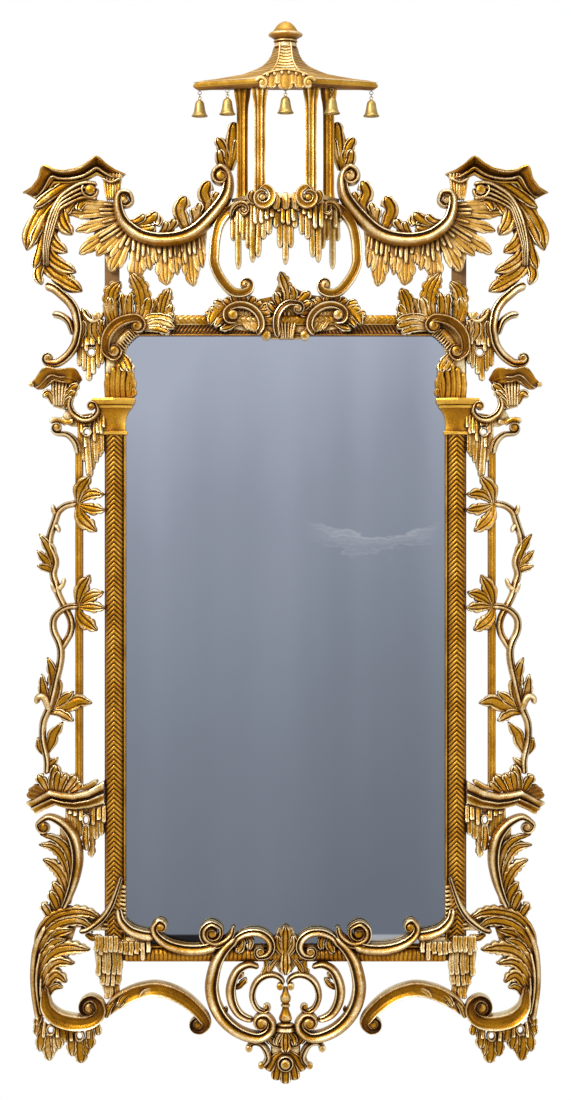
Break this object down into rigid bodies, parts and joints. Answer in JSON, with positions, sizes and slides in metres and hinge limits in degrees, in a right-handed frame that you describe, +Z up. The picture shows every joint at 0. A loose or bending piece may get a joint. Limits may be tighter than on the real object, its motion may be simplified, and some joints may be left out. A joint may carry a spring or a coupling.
{
  "type": "pagoda mirror",
  "caption": "Carved giltwood wall mirror with a pagoda crest hung with bells, canopied side brackets, vine-wound bars, scrolled feet and an openwork apron around one tall glass.",
  "frame": {"origin": "centre of the rear face of the batten across the back, in the wall plane, on the mirror centre line", "axes": "+Z up the mirror, +Y from the front into the wall, +X to the right as seen from the front"},
  "size_m": [0.894, 0.122, 1.8016],
  "materials": {
    "gilt": "water-gilt gold leaf over red bole on carved wood, worn on the high edges",
    "worn_gilt": "paler rubbed gold leaf showing gesso",
    "pine": "unfinished aged softwood",
    "looking_glass": "old silvered glass, faintly clouded",
    "bell_brass": "patinated gilt brass",
    "brass_wire": "dull darkened wire",
    "steel": "dull zinc-plated"
  },
  "bodies": {
    "frame": {"back_post_left": "pine", "back_post_right": "pine", "back_rail_top": "pine", "back_rail_bottom": "pine", "pilaster_left": "gilt", "pilaster_right": "gilt", "top_moulding": "gilt", "sill_moulding": "gilt", "mirror_plate": "looking_glass", "glass_blocks": "pine", "backboards": "pine", "backboard_batten": "pine", "back_screws": "steel", "capital_left": "gilt", "capital_right": "gilt", "corner_scroll_left": "gilt", "corner_scroll_right": "gilt", "crest_scroll_left": "gilt", "crest_scroll_right": "gilt", "crest_drip_left": "worn_gilt", "crest_drip_right": "worn_gilt", "corner_roof_left": "gilt", "corner_roof_right": "gilt", "shoulder_leaf_left": "gilt", "shoulder_leaf_right": "gilt", "side_bracket_left": "gilt", "side_bracket_right": "gilt", "side_bar_left": "worn_gilt", "side_bar_right": "worn_gilt", "vine_left": "gilt", "vine_right": "gilt", "shelf_left": "gilt", "shelf_right": "gilt", "leg_left": "gilt", "leg_right": "gilt", "sill_scroll_left": "gilt", "sill_scroll_right": "gilt", "apron_arch_left": "gilt", "apron_arch_right": "gilt", "apron_cartouche": "gilt", "rail_cartouche": "gilt", "throat_scrolls": "gilt", "pagoda_base": "gilt", "pagoda_columns": "gilt", "pagoda_roof": "gilt", "pagoda_finial": "gilt", "eye_screws": "brass_wire", "hanger_plates": "steel"},
    "link_1": {"link_1": "brass_wire"},
    "bell_1": {"bell_1": "bell_brass"},
    "link_2": {"link_2": "brass_wire"},
    "bell_2": {"bell_2": "bell_brass"},
    "link_3": {"link_3": "brass_wire"},
    "bell_3": {"bell_3": "bell_brass"},
    "link_4": {"link_4": "brass_wire"},
    "bell_4": {"bell_4": "bell_brass"},
    "link_5": {"link_5": "brass_wire"},
    "bell_5": {"bell_5": "bell_brass"},
    "hanger_ring_left": {"hanger_ring_left": "steel"},
    "hanger_ring_right": {"hanger_ring_right": "steel"}
  },
  "joints": [
    {"name": "link_1_swing", "type": "hinge", "parent": "frame", "child": "link_1", "pos_m": [-0.146, -0.026, 0.77716], "axis": [1, 0, 0], "range_deg": [-30, 12]},
    {"name": "bell_1_swing", "type": "hinge", "parent": "link_1", "child": "bell_1", "pos_m": [-0.146, -0.026, 0.77266], "axis": [0, 1, 0], "range_deg": [-30, 30]},
    {"name": "link_2_swing", "type": "hinge", "parent": "frame", "child": "link_2", "pos_m": [-0.098, -0.0655, 0.7735], "axis": [1, 0, 0], "range_deg": [-20, 4]},
    {"name": "bell_2_swing", "type": "hinge", "parent": "link_2", "child": "bell_2", "pos_m": [-0.098, -0.0655, 0.769], "axis": [0, 1, 0], "range_deg": [-3, 20]},
    {"name": "link_3_swing", "type": "hinge", "parent": "frame", "child": "link_3", "pos_m": [0, -0.105, 0.769], "axis": [1, 0, 0], "range_deg": [-30, 30]},
    {"name": "bell_3_swing", "type": "hinge", "parent": "link_3", "child": "bell_3", "pos_m": [0, -0.105, 0.7645], "axis": [0, 1, 0], "range_deg": [-30, 30]},
    {"name": "link_4_swing", "type": "hinge", "parent": "frame", "child": "link_4", "pos_m": [0.078, -0.08109, 0.77197], "axis": [1, 0, 0], "range_deg": [-20, 4]},
    {"name": "bell_4_swing", "type": "hinge", "parent": "link_4", "child": "bell_4", "pos_m": [0.078, -0.08109, 0.76748], "axis": [0, 1, 0], "range_deg": [-20, 10]},
    {"name": "link_5_swing", "type": "hinge", "parent": "frame", "child": "link_5", "pos_m": [0.146, -0.026, 0.77716], "axis": [1, 0, 0], "range_deg": [-30, 12]},
    {"name": "bell_5_swing", "type": "hinge", "parent": "link_5", "child": "bell_5", "pos_m": [0.146, -0.026, 0.77266], "axis": [0, 1, 0], "range_deg": [-30, 30]},
    {"name": "hanger_left_fold", "type": "hinge", "parent": "frame", "child": "hanger_ring_left", "pos_m": [-0.296, -0.0032, 0.33], "axis": [1, 0, 0], "range_deg": [0, 120]},
    {"name": "hanger_right_fold", "type": "hinge", "parent": "frame", "child": "hanger_ring_right", "pos_m": [0.296, -0.0032, 0.33], "axis": [1, 0, 0], "range_deg": [0, 120]}
  ]
}
